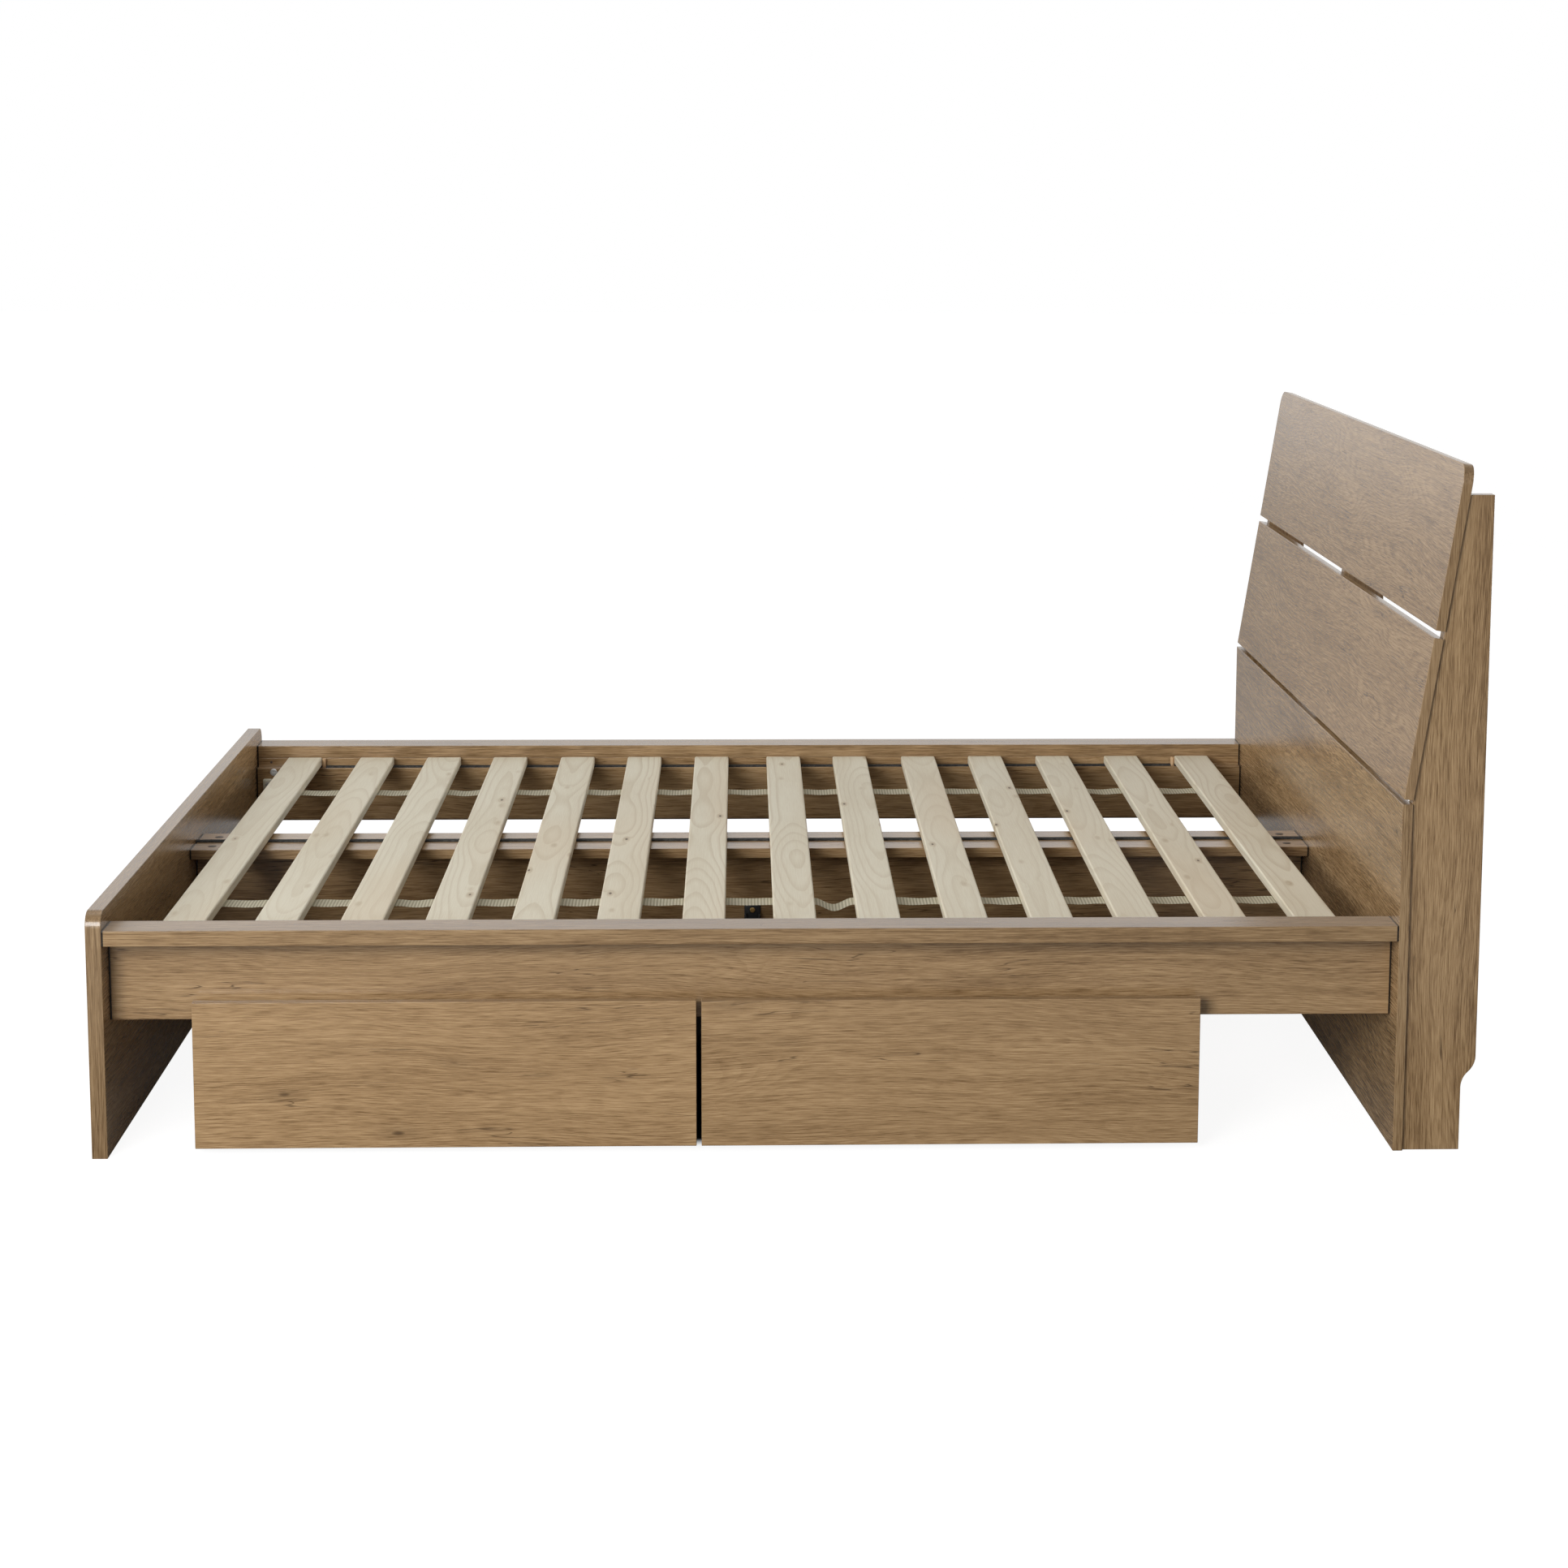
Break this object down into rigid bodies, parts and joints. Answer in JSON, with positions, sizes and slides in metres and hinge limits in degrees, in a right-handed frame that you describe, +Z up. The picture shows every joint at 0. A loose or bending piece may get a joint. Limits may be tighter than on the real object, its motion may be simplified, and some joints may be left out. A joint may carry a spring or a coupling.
{
  "type": "platform bed with storage drawers",
  "caption": "Slatted platform bed in oak-look boards with a leaning panel headboard, a low footboard and rolling storage drawers under the near side.",
  "frame": {"origin": "middle of the floor footprint, on the floor", "axes": "+X from foot to head, +Y from the drawer side to the far side, +Z up"},
  "size_m": [2.206, 1.69, 1.106],
  "materials": {
    "oak_laminate": "satin oak-look laminate",
    "pine_slat": "bare planed pine",
    "white_board": "pale coated hardboard",
    "beech_peg": "bare dowel",
    "black_felt": "needle felt",
    "cream_webbing": "ribbed woven strap",
    "cream_plastic": "moulded",
    "black_plastic": "moulded",
    "wheel_plastic": "moulded",
    "dark_cover": "brown cover",
    "zinc_cam": "zinc plated",
    "brass_screw": "plated"
  },
  "bodies": {
    "bed_frame": {"footboard": "oak_laminate", "rail_panel_near": "oak_laminate", "rail_panel_far": "oak_laminate", "rail_cap_near": "oak_laminate", "rail_cap_far": "oak_laminate", "rail_bearer_near": "oak_laminate", "rail_bearer_far": "oak_laminate", "bearer_felt_near": "black_felt", "bearer_felt_far": "black_felt", "centre_panel": "oak_laminate", "centre_board_near": "oak_laminate", "centre_board_far": "oak_laminate", "centre_felt": "black_felt", "webbing_near": "cream_webbing", "webbing_far": "cream_webbing", "slat_pegs": "beech_peg", "cam_locks": "zinc_cam", "cam_covers": "dark_cover", "corner_connectors": "cream_plastic", "centre_bracket": "black_plastic", "bracket_screw": "brass_screw", "headboard_lower_panel": "oak_laminate", "headboard_middle_board": "oak_laminate", "headboard_top_board": "oak_laminate", "headboard_upright_near": "oak_laminate", "headboard_upright_middle": "oak_laminate", "headboard_upright_far": "oak_laminate", "slat_01": "pine_slat", "slat_02": "pine_slat", "slat_03": "pine_slat", "slat_04": "pine_slat", "slat_05": "pine_slat", "slat_06": "pine_slat", "slat_07": "pine_slat", "slat_08": "pine_slat", "slat_09": "pine_slat", "slat_10": "pine_slat", "slat_11": "pine_slat", "slat_12": "pine_slat", "slat_13": "pine_slat", "slat_14": "pine_slat"},
    "drawer_foot": {"drawer_foot_front": "oak_laminate", "drawer_foot_side_foot": "oak_laminate", "drawer_foot_side_head": "oak_laminate", "drawer_foot_back": "oak_laminate", "drawer_foot_bottom": "white_board", "drawer_foot_wheel_forks": "black_plastic"},
    "drawer_foot_wheels_front": {"drawer_foot_wheels_front": "wheel_plastic"},
    "drawer_foot_wheels_rear": {"drawer_foot_wheels_rear": "wheel_plastic"},
    "drawer_head": {"drawer_head_front": "oak_laminate", "drawer_head_side_foot": "oak_laminate", "drawer_head_side_head": "oak_laminate", "drawer_head_back": "oak_laminate", "drawer_head_bottom": "white_board", "drawer_head_wheel_forks": "black_plastic"},
    "drawer_head_wheels_front": {"drawer_head_wheels_front": "wheel_plastic"},
    "drawer_head_wheels_rear": {"drawer_head_wheels_rear": "wheel_plastic"}
  },
  "joints": [
    {"name": "drawer_foot_slide", "type": "slide", "parent": "bed_frame", "child": "drawer_foot", "axis": [0, -1, 0], "range_m": [0, 0.6]},
    {"name": "drawer_foot_wheels_front_spin", "type": "hinge", "parent": "drawer_foot", "child": "drawer_foot_wheels_front", "pos_m": [0, -0.745, 0.02], "axis": [1, 0, 0], "continuous": true},
    {"name": "drawer_foot_wheels_rear_spin", "type": "hinge", "parent": "drawer_foot", "child": "drawer_foot_wheels_rear", "pos_m": [0, -0.195, 0.02], "axis": [1, 0, 0], "continuous": true},
    {"name": "drawer_head_slide", "type": "slide", "parent": "bed_frame", "child": "drawer_head", "axis": [0, -1, 0], "range_m": [0, 0.6]},
    {"name": "drawer_head_wheels_front_spin", "type": "hinge", "parent": "drawer_head", "child": "drawer_head_wheels_front", "pos_m": [0, -0.745, 0.02], "axis": [1, 0, 0], "continuous": true},
    {"name": "drawer_head_wheels_rear_spin", "type": "hinge", "parent": "drawer_head", "child": "drawer_head_wheels_rear", "pos_m": [0, -0.195, 0.02], "axis": [1, 0, 0], "continuous": true}
  ],
  "couplings": [
    {"joint": "drawer_foot_wheels_front_spin", "follows": "drawer_foot_slide", "rad_per_m": 50},
    {"joint": "drawer_foot_wheels_rear_spin", "follows": "drawer_foot_slide", "rad_per_m": 50},
    {"joint": "drawer_head_wheels_front_spin", "follows": "drawer_head_slide", "rad_per_m": 50},
    {"joint": "drawer_head_wheels_rear_spin", "follows": "drawer_head_slide", "rad_per_m": 50}
  ]
}
